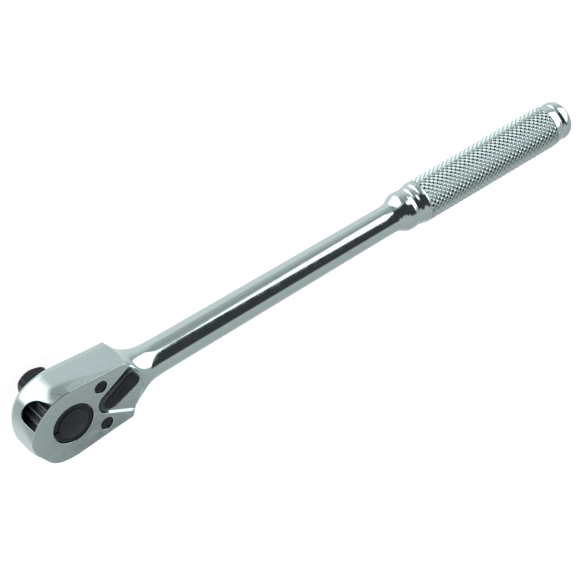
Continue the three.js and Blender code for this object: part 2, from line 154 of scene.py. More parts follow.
def both(a, b, radius):
    """Inside a and b, with the edge between them rounded."""
    corner = np.hypot(np.maximum(radius + a, 0), np.maximum(radius + b, 0))
    return np.minimum(-radius, np.maximum(a, b)) + corner


def joined(a, b, radius):
    """Inside a or b, with a fillet between them."""
    corner = np.hypot(np.maximum(radius - a, 0), np.maximum(radius - b, 0))
    return np.maximum(radius, np.minimum(a, b)) - corner


def cut(a, b, radius):
    """a without b, with a rounded edge."""
    return both(a, -b, radius)


def slab(z, low, high):
    return np.maximum(low - z, z - high)


def half_plane(u, v, at, normal):
    """How far a point lies past a line through at, whose outward direction is normal."""
    return normal[0] * (u - at[0]) + normal[1] * (v - at[1])


def face_growth(degrees):
    """How far the face's outline stands past the face circle, by degrees from the handle."""
    return NOSE_GROWTH * ramp(degrees, 125, 180)


def nose_growth(degrees):
    """The same for the nose's fullest level."""
    beside = np.sin(np.pi * np.clip((degrees - 100) / 80, 0, 1)) ** 2
    growth = SIDE_SWELL + (NOSE_GROWTH - SIDE_SWELL) * ramp(degrees, NOSE_START, 136)
    return growth + FLANK_GROWTH * beside


def right_side(y, degrees):
    """The share of its swell that the right side keeps up to the face."""
    return np.where(y < 0, RIGHT_SHARE, 0) * (1 - ramp(degrees, 118, 158))


def head_walls(x, y, z):
    """The head's outer walls: the nose's barrel and the two flanks."""
    degrees = np.degrees(np.arctan2(np.abs(y), x))
    nose_swell = nose_growth(degrees)
    lower = (np.clip(-z - LOWER_BEND, 0, None) / (HALF - LOWER_BEND)) ** 2
    rise = (np.clip(z - UPPER_BEND, 0, None) / (HALF - UPPER_BEND)) ** 2
    right = right_side(y, degrees)
    nose_drop = (nose_swell - face_growth(degrees)) * rise * (1 - right)
    nose_drop = nose_drop + (0.3 + 0.9 * ramp(degrees, NOSE_START, 126)) * lower
    nose = np.hypot(x, y) - (FACE_RADIUS + nose_swell - nose_drop)
    along = np.clip(x / FLANK_LENGTH, 0, 1)
    swell = SIDE_SWELL * (1 - ramp(along, 0, 1))
    start = UPPER_BEND + 4.4 * along
    side_drop = swell * (np.clip(z - start, 0, None) / (HALF - start)) ** 2
    side_drop = side_drop * (1 - right) + 0.3 * lower
    side = np.abs(y) - (FACE_RADIUS - SIDE_SLOPE * x + swell - side_drop)
    return np.where(degrees > NOSE_START, nose, side)


def shaft_radius(x):
    """The plain shaft thins evenly from the flare to the collar."""
    share = np.clip((x - FLARE_END) / (SHAFT_THIN_AT - FLARE_END), 0, 1)
    return SHAFT_RADIUS + (SHAFT_THIN_RADIUS - SHAFT_RADIUS) * share


def neck(x, y, z):
    """The concave flare between the head and the shaft."""
    before = FLARE_END - x
    before = (before + np.hypot(before, FLARE_SOFTNESS)) / 2
    return FLARE_RADIUS - np.hypot(before, np.hypot(y, z) - shaft_radius(x) - FLARE_RADIUS)


def recess_plan(x, y, z):
    """The fan-shaped walls of the lever's recess."""
    ahead, aside = x - LEVER_X, np.abs(y)
    along = ahead * math.cos(RECESS_ANGLE) + aside * math.sin(RECESS_ANGLE)
    across = aside * math.cos(RECESS_ANGLE) - ahead * math.sin(RECESS_ANGLE)
    plan = np.where(along < 0, np.hypot(ahead, aside), across) - RECESS_RADIUS
    return (plan + RECESS_DRAFT * (HALF - z)) / math.hypot(1, RECESS_DRAFT)


def window(x, y, z):
    """The slanting cut through a flank: a flat-sided opening with two round lower corners."""
    aside = np.abs(y)
    c, s = math.cos(WINDOW_AZIMUTH), math.sin(WINDOW_AZIMUTH)
    level, tilt = math.cos(WINDOW_SLANT), math.sin(WINDOW_SLANT)
    across = -x * s + aside * c
    up = -tilt * (x * c + aside * s) + level * z
    depth = level * (x * c + aside * s) + tilt * z
    near = half_plane(across, up, (0.9, -4.6), (-0.926, -0.377))
    outline = both(both(near, WINDOW_BOTTOM - up, 2.8), across - WINDOW_BACK, 3.0)
    opening = np.maximum(outline, WINDOW_DEPTH - depth)
    degrees = np.degrees(np.arctan2(aside, x))
    growth = face_growth(degrees)
    growth = growth + right_side(y, degrees) * (nose_growth(degrees) - growth)
    edge = FACE_RADIUS + growth + 0.08 - CHEEK_SLOPE * np.clip(CHEEK_TOP - z, 0, None)
    # 0.59 turns the distance along the level into the distance from the sloping wall
    cheek = np.maximum(0.59 * (np.hypot(x, y) - edge), CHAMBER_TOP - z)
    return np.maximum(opening, -cheek)


def cover_plan(x, y, margin):
    """The cover plate's outline, grown by margin."""
    aside = np.abs(y)
    back = COVER_BACK + margin
    slope = half_plane(x, aside, (back, 6.2 + margin), (0.481, 0.877))
    shoulder = half_plane(x, aside, (12.2, 11.4 + margin), (-0.11, 0.994))
    tail = np.maximum(np.maximum(x - back, slope), np.maximum(shoulder, COVER_FRONT - x))
    return np.minimum(np.hypot(x, y) - CHAMBER_RADIUS - COVER_LIP - margin, tail)


def handle_head(x, y, z):
    """The forging up to HEAD_JOIN, with the recess, chamber, windows, bores and holes cut out."""
    degrees = np.degrees(np.arctan2(np.abs(y), x))
    # the face's edge is sharper round the nose
    face_edge = 0.32 - 0.22 * ramp(degrees, 70, 130)
    body = both(head_walls(x, y, z), z - HALF, face_edge)
    body = both(body, -HALF - z, 0.5)
    body = both(body, neck(x, y, z), 0.22)
    round_axis = np.hypot(x, y)
    lever_axis = np.hypot(x - LEVER_X, y)
    pin_axis = np.hypot(x - PIN_X, np.abs(y) - PIN_Y)
    plan = recess_plan(x, y, z)
    recess = both(both(plan, lever_axis - RECESS_REACH, 0.5), RECESS_FLOOR - z, 0.2)
    body = cut(body, recess, 0.05)
    body = cut(body, both(plan, NECK_FLAT - z, 0.06), 0.05)
    pawls = np.maximum(x - CHAMBER_BACK, CHAMBER_FRONT - x)
    for at, normal in (((CHAMBER_BACK, 5.6), (0.714, 0.7)), ((CHAMBER_FRONT, 9), (-0.208, 0.978))):
        pawls = np.maximum(pawls, half_plane(x, np.abs(y), at, normal))
    hollow = np.minimum(np.minimum(round_axis - CHAMBER_RADIUS, pawls), pin_axis - PAWL_ROOM)
    body = cut(body, np.maximum(hollow, z - CHAMBER_TOP), 0.1)
    body = cut(body, np.maximum(cover_plan(x, y, 0.08), z - COVER_SEAT), 0.12)
    body = cut(body, window(x, y, z), 0.2)
    body = cut(body, both(round_axis - FACE_BORE, RING_SEAT - z, 0.1), 0.05)
    body = cut(body, np.maximum(round_axis - JOURNAL_RADIUS - RUNNING_GAP, -z), 0.1)
    body = cut(body, np.maximum(lever_axis - LEVER_SHAFT - RUNNING_GAP, -z), 0.1)
    body = cut(body, np.maximum(pin_axis - PIN_RADIUS - 0.02, -z), 0.03)
    screw_axis = np.hypot(x - SCREW_X, np.abs(y) - SCREW_Y)
    return np.maximum(body, -np.maximum(screw_axis - SCREW_HOLE, z - SCREW_HOLE_TOP))


def drive_gear(x, y, z):
    """The toothed ring, collar, spindle, domed boss and drive square in one piece."""
    pitch = 2 * math.pi / GEAR_TEETH
    axis = np.hypot(x, y)
    turn = np.arctan2(y, x) - GEAR_TURN
    turn = turn - pitch * np.round(turn / pitch)
    ahead, aside = axis * np.cos(turn), np.abs(axis * np.sin(turn))
    flank = half_plane(ahead, aside, (9.557, 0.9034), (0.4647, 0.8855))
    tooth = both(flank, axis - GEAR_TIP, 0.16)
    teeth = both(joined(tooth, axis - GEAR_ROOT, 0.15), slab(z, GEAR_BOTTOM, GEAR_TOP), 0.3)
    collar = both(axis - COLLAR_RADIUS, slab(z, -6.8, 0), 0.3)
    spindle = both(axis - JOURNAL_RADIUS, slab(z, -1, RING_SEAT), 0.1)
    stem = np.maximum(axis - 4.6, slab(z, 5, 6.1))
    dome = np.hypot(axis, z - DOME_LEVEL) - DOME_RADIUS
    boss = both(axis - BOSS_RADIUS, both(6.0 - z, dome, 0.1), 0.35)
    head = np.minimum(np.minimum(teeth, collar), np.minimum(np.minimum(spindle, stem), boss))
    square = both(np.abs(x) - SQUARE_HALF, np.abs(y) - SQUARE_HALF, 0.6)
    square = both(square, axis - SQUARE_CORNER, 0.3)
    square = both(square, half_plane(axis, z, (4.35, -HEAD_MIDDLE), (0.651, -0.759)), 0.25)
    square = both(square, slab(z, -HEAD_MIDDLE, -6), 0.15)
    seat = np.maximum(np.hypot(y, z - BALL_LEVEL) - BALL_RADIUS - RUNNING_GAP, BALL_SEAT_BACK - x)
    return cut(joined(head, square, 0.5), seat, 0.12)


def lever_plan(along, across):
    end = both(np.abs(across) - LEVER_HALF_WIDTH, along - LEVER_REACH, 2.3)
    return np.where(along < 0, np.hypot(along, across) - LEVER_HALF_WIDTH, end)


def arrow_plan(along, across):
    """A plain two-headed arrow."""
    along = np.abs(along - 4.6)
    shaft = np.maximum(np.abs(across) - 0.32, along - 2.4)
    head = np.maximum(half_plane(along, np.abs(across), (4.3, 0), (0.8, 0.6)), 2.2 - along)
    return np.minimum(shaft, head)


def reversing_lever(x, y, z):
    ahead, aside = x - LEVER_X, y
    c, s = math.cos(LEVER_REST), math.sin(LEVER_REST)
    along, across = ahead * c + aside * s, -ahead * s + aside * c
    outline = lever_plan(along, across)
    # the top slopes down to the outline from a ridge line inside it, and a little to the tip
    slanted = np.clip(outline + 1.75 - 0.08 * along, 0, None)
    top = LEVER_TOP - 0.5 * slanted - 0.2 * ramp(along, 7, 13)
    thumb = both(outline, z - top, 0.3)
    thumb = both(thumb, LEVER_FOOT - z, 0.15)
    mark = both(arrow_plan(along, across), slab(z, 6, top + 0.12), 0.06)
    axis = np.hypot(ahead, aside)
    # the stem keeps clear of the pawls' tops, and the peg carries the cam between them
    stem = np.maximum(axis - LEVER_SHAFT + 0.05, slab(z, GEAR_TOP + 0.1, 6))
    peg = np.maximum(axis - 1.0, slab(z, GEAR_BOTTOM, 4.2))
    return np.minimum(joined(thumb, mark, 0.06), np.minimum(stem, peg))


def countersink(z):
    """How much narrower a countersunk head has become at this level."""
    return np.clip(z + 5.95, 0, 1)


def cover_plate(x, y, z):
    plate = both(cover_plan(x, y, 0), slab(z, -HALF, COVER_TOP), 0.14)
    plate = cut(plate, np.hypot(x, y) - COLLAR_RADIUS - RUNNING_GAP, 0.14)
    plate = cut(plate, np.hypot(x - PIN_X, np.abs(y) - PIN_Y) - PIN_RADIUS - 0.05, 0.1)
    screw = np.hypot(x - SCREW_X, np.abs(y) - SCREW_Y)
    sink = np.maximum(screw - SCREW_HEAD - RUNNING_GAP + countersink(z), z - SINK_TOP)
    return cut(plate, np.minimum(screw - SCREW_HOLE, sink), 0.06)


def cover_screw(side):
    def shape(x, y, z):
        axis = np.hypot(x - SCREW_X, y - side * SCREW_Y)
        head = both(axis - SCREW_HEAD + countersink(z), slab(z, -HALF, SINK_TOP), 0.08)
        shank = np.maximum(axis - SCREW_SHANK, slab(z, -5.5, -1.4))
        slot = np.maximum(np.abs(y - side * SCREW_Y) - 0.3, z + 5.7)
        return cut(np.minimum(head, shank), slot, 0.06)
    return shape


def retaining_ring(x, y, z):
    """A flat ring with a narrow gap on the side away from the handle."""
    axis = np.hypot(x, y)
    ring = both(both(axis - RING_OUTER, RING_INNER - axis, 0.1), slab(z, 5.45, 5.98), 0.12)
    return cut(ring, np.maximum(np.abs(y) - 0.4, x), 0.1)


def detent_ball(x, y, z):
    return np.sqrt((x - BALL_X) ** 2 + y ** 2 + (z - BALL_LEVEL) ** 2) - BALL_RADIUS


def pawl_pin(side):
    def shape(x, y, z):
        axis = np.hypot(x - PIN_X, y - side * PIN_Y)
        crown = z - (5.93 - 0.12 * (axis / PIN_RADIUS) ** 2)
        return both(both(axis - PIN_RADIUS, crown, 0.2), -6.0 - z, 0.2)
    return shape


# ---- meshes ----
def surface(shape, low, high, step, open_end=None):
    """Vertices, quads and normals of a distance function's surface, on a grid of cells. With
    open_end, the grid ends exactly at that x, where the surface stays open."""
    step = step * FINE
    axes = [np.arange(a, b + step * 0.5, step) for a, b in zip(low, high)]
    if open_end is not None:
        axes[0] = open_end - np.arange(len(axes[0]) - 1, -1, -1) * step
    grid = np.ix_(*[a.astype(np.float32) for a in axes])
    field = np.broadcast_to(shape(*grid), tuple(len(a) for a in axes)).astype(np.float32)
    inside = field < 0
    corners = [(i, j, k) for i in (0, 1) for j in (0, 1) for k in (0, 1)]
    size = tuple(n - 1 for n in field.shape)

    def shifted(values, c):
        return values[c[0]:c[0] + size[0], c[1]:c[1] + size[1], c[2]:c[2] + size[2]]

    filled = sum(shifted(inside, c).astype(np.uint8) for c in corners)
    cells = np.argwhere((filled > 0) & (filled < 8))
    number = np.full(size, -1, np.int32)
    number[tuple(cells.T)] = np.arange(len(cells))
    total, count = np.zeros((len(cells), 3)), np.zeros(len(cells))
    for a in corners:
        for axis in range(3):
            if a[axis]:
                continue
            b = list(a)
            b[axis] = 1
            first = field[tuple((cells + a).T)].astype(float)
            second = field[tuple((cells + b).T)].astype(float)
            crossing = (first < 0) != (second < 0)
            share = np.where(crossing, first / np.where(crossing, first - second, 1), 0)
            point = np.array(a, float)[None, :].repeat(len(cells), 0)
            point[:, axis] += share
            total += point * crossing[:, None]
            count += crossing
    origin = np.array([a[0] for a in axes])
    points = origin + step * (cells + total / count[:, None])
    quads = []
    for axis in range(3):
        j, k = (axis + 1) % 3, (axis + 2) % 3
        here = np.take(inside, range(field.shape[axis] - 1), axis)
        there = np.take(inside, range(1, field.shape[axis]), axis)
        for rising in (True, False):
            edge = np.argwhere((here & ~there) if rising else (~here & there))
            keep = (edge[:, j] > 0) & (edge[:, k] > 0)
            keep &= (edge[:, j] < size[j]) & (edge[:, k] < size[k])
            edge = edge[keep]
            ring = []
            for dj, dk in ((1, 1), (0, 1), (0, 0), (1, 0)):
                cell = edge.copy()
                cell[:, j] -= dj
                cell[:, k] -= dk
                ring.append(number[tuple(cell.T)])
            quad = np.stack(ring, 1)
            quads.append(quad if rising else quad[:, ::-1])
    quads = np.concatenate(quads)
    # four short pulls bring the points onto the surface itself
    for _ in range(4):
        value, slope = gradient(shape, points, 0.01)
        move = value / np.maximum((slope ** 2).sum(1), 0.05)
        points = points - np.clip(move, -0.4 * step, 0.4 * step)[:, None] * slope
    if open_end is not None:
        points[cells[:, 0] == size[0] - 1, 0] = open_end
    _, slope = gradient(shape, points, 0.02)
    normals = slope / np.maximum(np.linalg.norm(slope, axis=1), 1e-9)[:, None]
    return points, quads, normals[quads].reshape(-1, 3)


def gradient(shape, points, reach):
    """A distance function's value and slope at some points."""
    x, y, z = points.T
    slope = np.stack([
        shape(x + reach, y, z) - shape(x - reach, y, z),
        shape(x, y + reach, z) - shape(x, y - reach, z),
        shape(x, y, z + reach) - shape(x, y, z - reach),
    ], 1) / (2 * reach)
    return shape(x, y, z), slope


def rounded_path(corners):
    """[x, radius, corner size] points as a line whose corners are rounded in small steps."""
    arc_steps = 7
    points = [np.array(corners[0][:2], float)]
    for before, here, after in zip(corners, corners[1:], corners[2:]):
        p, q, r = (np.array(c[:2], float) for c in (before, here, after))
        to_p, to_r = p - q, r - q
        size_p = min(here[2], np.linalg.norm(to_p) / 2) / np.linalg.norm(to_p)
        size_r = min(here[2], np.linalg.norm(to_r) / 2) / np.linalg.norm(to_r)
        a, b = q + to_p * size_p, q + to_r * size_r
        for t in np.linspace(0, 1, arc_steps):
            points.append(a * (1 - t) ** 2 + 2 * q * t * (1 - t) + b * t ** 2)
    points.append(np.array(corners[-1][:2], float))
    kept = [points[0]]
    for p in points[1:]:
        if np.linalg.norm(p - kept[-1]) > 1e-4:
            kept.append(p)
    return np.array(kept)


def turned(path, around=160):
    """Vertices, quads and normals of a line turned about the handle's axis."""
    along = np.gradient(path, axis=0)
    out = np.stack([-along[:, 1], along[:, 0]], 1)
    out /= np.linalg.norm(out, axis=1)[:, None]
    turn = np.arange(around) * 2 * math.pi / around
    cos, sin = np.cos(turn)[None, :], np.sin(turn)[None, :]
    points = np.stack([path[:, :1] + 0 * cos, path[:, 1:] * cos, path[:, 1:] * sin], 2)
    normals = np.stack([out[:, :1] + 0 * cos, out[:, 1:] * cos, out[:, 1:] * sin], 2)
    i, j = np.meshgrid(np.arange(len(path) - 1), np.arange(around), indexing="ij")
    a, b = i * around + j, i * around + (j + 1) % around
    quads = np.stack([a, b, b + around, a + around], 2).reshape(-1, 4)
    points, normals = points.reshape(-1, 3), normals.reshape(-1, 3)
    return points, quads, normals[quads].reshape(-1, 3)


def knurled(start, end, radius, pitch, depth):
    """A diamond knurl: round-bottomed diamonds between grooves that follow helices both ways."""
    half = 4       # grid steps from a groove to the middle of a diamond
    edge = 0.5     # the grip's ends are bevelled by this much
    around = round(2 * math.pi * radius / pitch) * 2 * half
    rows = int(round((end - start) / pitch)) * 2 * half
    i, j = np.meshgrid(np.arange(rows + 1), np.arange(around), indexing="ij")

    def from_groove(index):
        """How far an index is from its nearest groove, in steps with a sign."""
        return (index + half) % (2 * half) - half

    def height(steps):
        """0 in a groove and 1 in a diamond's middle."""
        return 1 - (1 - np.abs(steps) / half) ** 2

    x = start + (end - start) * i / rows
    turn = 2 * math.pi * j / around
    rise = np.minimum(height(from_groove(j + i)), height(from_groove(j - i)))
    bevel = np.maximum(edge - (x - start), edge - (end - x))
    r = radius - np.maximum(depth * (1 - rise), bevel)
    points = np.stack([x, r * np.cos(turn), r * np.sin(turn)], 2).reshape(-1, 3)
    i, j = i[:-1].ravel(), j[:-1].ravel()
    # each square of the grid becomes two triangles, split along the nearest groove's direction
    corners_i = np.stack([i, i, i + 1, i + 1], 1)
    corners_j = np.stack([j, j + 1, j + 1, j], 1)
    even = ((i + j) % 2 == 0)[:, None]
    first = np.where(even, [[0, 1, 2]], [[0, 1, 3]])
    second = np.where(even, [[0, 2, 3]], [[1, 2, 3]])
    order = np.concatenate([first, second])
    corners_i = np.take_along_axis(np.concatenate([corners_i, corners_i]), order, 1)
    corners_j = np.take_along_axis(np.concatenate([corners_j, corners_j]), order, 1)
    # each triangle belongs to the nearer groove, whose slope gives its corners' normals
    middle_i, middle_j = corners_i.mean(1, keepdims=True), corners_j.mean(1, keepdims=True)
    along, across = from_groove(middle_j + middle_i), from_groove(middle_j - middle_i)
    nearer = np.abs(along) < np.abs(across)
    shift_i, shift_j = corners_i - middle_i, corners_j - middle_j
    steps = np.where(nearer, along + shift_j + shift_i, across + shift_j - shift_i)
    slope = depth * 2 / half * (1 - np.abs(steps) / half) * np.where(nearer, along, across).clip(-1, 1)
    slope_x = slope * np.where(nearer, 1, -1) * rows / (end - start)
    slope_turn = slope * around / (2 * math.pi * radius)
    turn = 2 * math.pi * corners_j / around
    normals = np.stack([-slope_x, np.cos(turn) + slope_turn * np.sin(turn),
                        np.sin(turn) - slope_turn * np.cos(turn)], 2).reshape(-1, 3)
    normals /= np.linalg.norm(normals, axis=1)[:, None]
    triangles = corners_i * around + corners_j % around
    return points, triangles, normals


def coil(start, end, y, z, radius, wire, turns=4):
    """A coil spring along X with flat ends: its tube and its two end discs."""
    steps_per_turn, around = 24, 12
    t = np.linspace(0, 1, turns * steps_per_turn + 1)
    turn = 2 * math.pi * turns * t
    zero = np.zeros_like(t)
    middle = np.stack([start + (end - start) * t, y + radius * np.cos(turn),
                       z + radius * np.sin(turn)], 1)
    out = np.stack([zero, np.cos(turn), np.sin(turn)], 1)
    ahead = np.stack([zero + (end - start) / (2 * math.pi * turns), -radius * np.sin(turn),
                      radius * np.cos(turn)], 1)
    ahead /= np.linalg.norm(ahead, axis=1)[:, None]
    across = np.cross(ahead, out)
    side = 2 * math.pi * np.arange(around) / around
    normals = (out[:, None] * np.cos(side)[None, :, None]
               + across[:, None] * np.sin(side)[None, :, None])
    points = (middle[:, None] + wire * normals).reshape(-1, 3)
    i, j = np.meshgrid(np.arange(len(t) - 1), np.arange(around), indexing="ij")
    a, b = (i * around + j).ravel(), (i * around + (j + 1) % around).ravel()
    quads = np.stack([a, b, b + around, a + around], 1)
    # the end discs use the tube's points, numbered back from its last one
    no_points = np.empty((0, 3))
    disc = np.arange(around)[None, :]
    return [
        (points, quads, normals.reshape(-1, 3)[quads].reshape(-1, 3)),
        (no_points, disc[:, ::-1] - len(points), np.repeat(-ahead[:1], around, 0)),
        (no_points, disc - around, np.repeat(ahead[-1:], around, 0)),
    ]


def add_piece(name, parts, body, material, slot, replaced):
    """One mesh object from several sets of points, faces and corner normals."""
    points, loops, sizes, normals, offset = [], [], [], [], 0
    for part_points, faces, part_normals in parts:
        points.append(part_points)
        loops.append(faces.ravel() + offset)
        sizes.append(np.full(len(faces), faces.shape[1]))
        normals.append(part_normals)
        offset += len(part_points)
    points = (np.concatenate(points) + (0, 0, HEAD_MIDDLE)) * MM
    loops, sizes = np.concatenate(loops), np.concatenate(sizes)
    mesh = bpy.data.meshes.new(name)
    mesh.vertices.add(len(points))
    mesh.vertices.foreach_set("co", points.astype(np.float32).ravel())
    mesh.loops.add(len(loops))
    mesh.loops.foreach_set("vertex_index", loops.astype(np.int32))
    mesh.polygons.add(len(sizes))
    starts = np.concatenate([[0], np.cumsum(sizes)[:-1]])
    mesh.polygons.foreach_set("loop_start", starts.astype(np.int32))
    mesh.update(calc_edges=True)
    mesh.shade_smooth()
    mesh.normals_split_custom_set(np.concatenate(normals).astype(np.float32))
    mesh.materials.append(material)
    piece = bpy.data.objects.new(name, mesh)
    bpy.context.scene.collection.objects.link(piece)
    if body:
        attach(piece, body)
    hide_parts(replaced)
    return piece


# ---- materials ----
class Nodes:
    """A small helper that adds nodes to a tree and links them."""

    def __init__(self, tree):
        self.tree = tree
        tree.nodes.clear()

    def add(self, kind, inputs=None, **settings):
        node = self.tree.nodes.new(kind)
        for key, value in settings.items():
            setattr(node, key, value)
        for key, value in (inputs or {}).items():
            if isinstance(value, bpy.types.NodeSocket):
                self.tree.links.new(value, node.inputs[key])
            else:
                node.inputs[key].default_value = value
        return node

    def math(self, operation, a, b):
        return self.add("ShaderNodeMath", {0: a, 1: b}, operation=operation).outputs[0]

    def times(self, first, *others):
        """The product of several values."""
        for other in others:
            first = self.math("MULTIPLY", first, other)
        return first

    def step(self, value, low, high):
        """A soft step from 0 at low to 1 at high."""
        node = self.add("ShaderNodeMapRange", {0: value, 1: low, 2: high},
                        interpolation_type="SMOOTHSTEP")
        return node.outputs[0]

    def fall(self, value, low, high):
        """A soft step from 1 at low to 0 at high."""
        return self.math("SUBTRACT", 1.0, self.step(value, low, high))

    def band(self, value, rise, fall):
        """Rises softly between the first two values and falls between the other two."""
        return self.times(self.step(value, *rise), self.fall(value, *fall))

    def scale(self, value, low, high, to_low, to_high):
        node = self.add("ShaderNodeMapRange", {0: value, 1: low, 2: high, 3: to_low, 4: to_high})
        return node.outputs[0]

    def length(self, a, b):
        """The length of (a, b)."""
        squares = self.math("ADD", self.times(a, a), self.times(b, b))
        return self.math("SQRT", squares, 0.0)

    def noise(self, vector, scale, detail):
        return self.add("ShaderNodeTexNoise", {"Vector": vector, "Scale": scale,
                                               "Detail": detail, "Roughness": 0.5}).outputs[0]

    def mix(self, share, a, b):
        return self.add("ShaderNodeMix", {0: share, 6: a, 7: b}, data_type="RGBA").outputs[2]

    def object_place(self):
        """The place on the piece, in metres, and its three parts."""
        place = self.add("ShaderNodeTexCoord").outputs["Object"]
        return place, self.add("ShaderNodeSeparateXYZ", {0: place}).outputs

    def finish(self, tone, metallic, rough, height, strength, distance, **more):
        """The shader, with height as a bump of so many metres, and the material's output."""
        bump = self.add("ShaderNodeBump", {"Height": height, "Strength": strength,
                                           "Distance": distance}).outputs[0]
        shader = self.add("ShaderNodeBsdfPrincipled", {
            "Base Color": tone, "Metallic": metallic, "Roughness": rough, "Normal": bump, **more})
        self.add("ShaderNodeOutputMaterial", {0: shader.outputs[0]})


def new_material(name):
    material = bpy.data.materials.new(name)
    material.use_nodes = True
    return material, Nodes(material.node_tree)


def stretched(nodes, place, x, y, z):
    return nodes.add("ShaderNodeMapping", {"Vector": place, "Scale": (x, y, z)}).outputs[0]


def shade(tone, factor):
    return [*[c * factor for c in tone], 1]


def chrome_material():
    """Polished chrome: slightly wavy and clouded, with fine hairlines along the handle, and a little
    darker and rougher in the knurl's grooves."""
    material, n = new_material("chrome")
    place, (x, y, z) = n.object_place()
    clouds = n.noise(place, 420, 4)
    wave = n.noise(place, 190, 1.5)
    grain = n.noise(place, 5200, 2)
    hairs = n.step(n.noise(stretched(n, place, 60, 2600, 2600), 1.0, 3), 0.60, 0.72)
    radius = n.length(n.math("SUBTRACT", z, HEAD_MIDDLE * MM), y)
    groove = n.fall(radius, 6.68 * MM, 7.0 * MM)
    on_grip = n.band(x, ((GRIP_START - 0.2) * MM, (GRIP_START + 0.2) * MM),
                     ((KNURL_END - 0.2) * MM, (KNURL_END + 0.2) * MM))
    # the knurl's grooves are made a little darker and rougher
    groove_darkening = n.times(groove, on_grip)
    tone = n.mix(clouds, (0.615, 0.755, 0.76, 1), (0.69, 0.825, 0.825, 1))
    tone = n.mix(n.times(groove_darkening, 0.2), tone, (0.16, 0.175, 0.18, 1))
    rough = n.scale(clouds, 0.3, 0.7, 0.05, 0.12)
    rough = n.math("ADD", rough, n.times(hairs, 0.07))
    rough = n.math("ADD", rough, n.times(groove_darkening, 0.08))
    height = n.math("ADD", wave, n.times(grain, 0.03))
    height = n.math("SUBTRACT", height, n.times(hairs, 0.025))
    n.finish(tone, 1.0, rough, height, 1.0, 4e-6)
    return material


def black_oxide(name, base, rub_and_sheen_tone, rough_low, rough_high, shine=0.3, wear_and_highlight_from=None,
                painted_sheen_below=None, streak=(1, 1, 1)):
    """Blackened steel with a mottled sheen. Past a given radius from the drive axis, in metres, the
    teeth are rubbed thin and carry a painted highlight, and their flanks a weaker one; below a
    given height the black is lightened in specks as a painted sheen. A streak below 1 draws the
    specks out along that axis."""
    material, n = new_material(name)
    place, (x, y, z) = n.object_place()
    clouds = n.noise(place, 650, 4)
    specks = n.noise(stretched(n, place, *[4200 * s for s in streak]), 1.0, 2)
    tone = n.mix(clouds, shade(base, 0.7), shade(base, 1.35))
    rub_and_sheen = n.times(n.step(specks, 0.58, 0.74), 0.22)
    if wear_and_highlight_from:
        # the crests of the teeth are lightened most, as wear and a painted highlight, and their flanks
        # less, as a painted highlight
        radius = n.length(x, y)
        crest = n.times(n.step(radius, wear_and_highlight_from - 0.5 * MM, wear_and_highlight_from), 0.75)
        flank = n.times(n.step(radius, 8.8 * MM, 9.4 * MM), 0.42)
        rub_and_sheen = n.math("MAXIMUM", n.math("MAXIMUM", rub_and_sheen, crest), flank)
    if painted_sheen_below:
        # painted sheen: the sloping sides below this height are lightened in specks, for the light
        # they reflect
        slope = n.fall(z, painted_sheen_below - 0.15 * MM, painted_sheen_below)
        rub_and_sheen = n.math("ADD", rub_and_sheen, n.times(slope, n.scale(specks, 0.3, 0.7, 0.08, 0.34)))
    tone = n.mix(rub_and_sheen, tone, [*rub_and_sheen_tone, 1])
    rough = n.scale(clouds, 0.3, 0.7, rough_low, rough_high)
    height = n.math("ADD", n.times(specks, 0.5), clouds)
    n.finish(tone, rub_and_sheen, rough, height, 0.8, 8e-6,
             **{"Specular IOR Level": shine, "Specular Tint": (0.75, 0.93, 1.0, 1)})
    return material


def bright_steel(name, base, rough_low, rough_high):
    material, n = new_material(name)
    place, _ = n.object_place()
    clouds = n.noise(place, 1500, 3)
    tone = n.mix(clouds, shade(base, 0.85), shade(base, 1.1))
    rough = n.scale(clouds, 0.3, 0.7, rough_low, rough_high)
    n.finish(tone, 1.0, rough, n.noise(place, 6000, 2), 0.5, 4e-6)
    return material


CHROME = chrome_material()
PLATE = black_oxide("black_plate", (0.016, 0.018, 0.019), (0.3, 0.31, 0.32), 0.3, 0.45,
                    streak=(0.05, 1, 1))
# the drive's teeth are lightened as wear and a painted highlight
DRIVE = black_oxide("black_drive", (0.012, 0.016, 0.018), (0.42, 0.44, 0.45), 0.26, 0.42,
                    wear_and_highlight_from=10.84 * MM)
# the lever's sloping sides are lightened below a height as a painted sheen
LEVER = black_oxide("black_lever", (0.006, 0.008, 0.009), (0.24, 0.28, 0.30), 0.2, 0.34,
                    shine=0.28, painted_sheen_below=(HEAD_MIDDLE + 6.72) * MM)
SMALL = black_oxide("black_small", (0.007, 0.009, 0.010), (0.18, 0.2, 0.21), 0.35, 0.5)
PAWL = black_oxide("black_pawl", (0.014, 0.015, 0.016), (0.3, 0.31, 0.32), 0.3, 0.5)
BALL = bright_steel("bright_ball", (0.62, 0.63, 0.64), 0.06, 0.14)
WIRE = bright_steel("spring_wire", (0.42, 0.43, 0.44), 0.2, 0.34)


# ---- the handle: [x, radius, corner size] points of its turned parts ----
shaft_line = rounded_path([
    [HEAD_JOIN, float(shaft_radius(HEAD_JOIN)), 0], [SHAFT_THIN_AT, SHAFT_THIN_RADIUS, 1.5],
    [126.4, 4.86, 1.2], [129.1, 6.48, 0.9], [131.9, 6.55, 0.5], [132.9, 6.06, 0.4],
    [133.8, 6.5, 0.4], [135.2, 6.52, 0.4], [136.0, 6.95, 0.4], [137.2, 7.02, 0.2],
    [137.5, 6.7, 0.15], [GRIP_START, 6.7, 0.1], [GRIP_START + 0.05, 6.2, 0],
])
end_line = rounded_path([
    [KNURL_END - 0.05, 6.2, 0], [KNURL_END, 6.84, 0.1], [193.7, 6.64, 0.5], [194.9, 6.2, 0.35],
    [195.9, 6.6, 0.4], [197.4, 6.5, 1.0], [199.3, 5.6, 1.2], [WRENCH_END, 3.0, 1.4],
    [WRENCH_END, 0.001, 0],
])
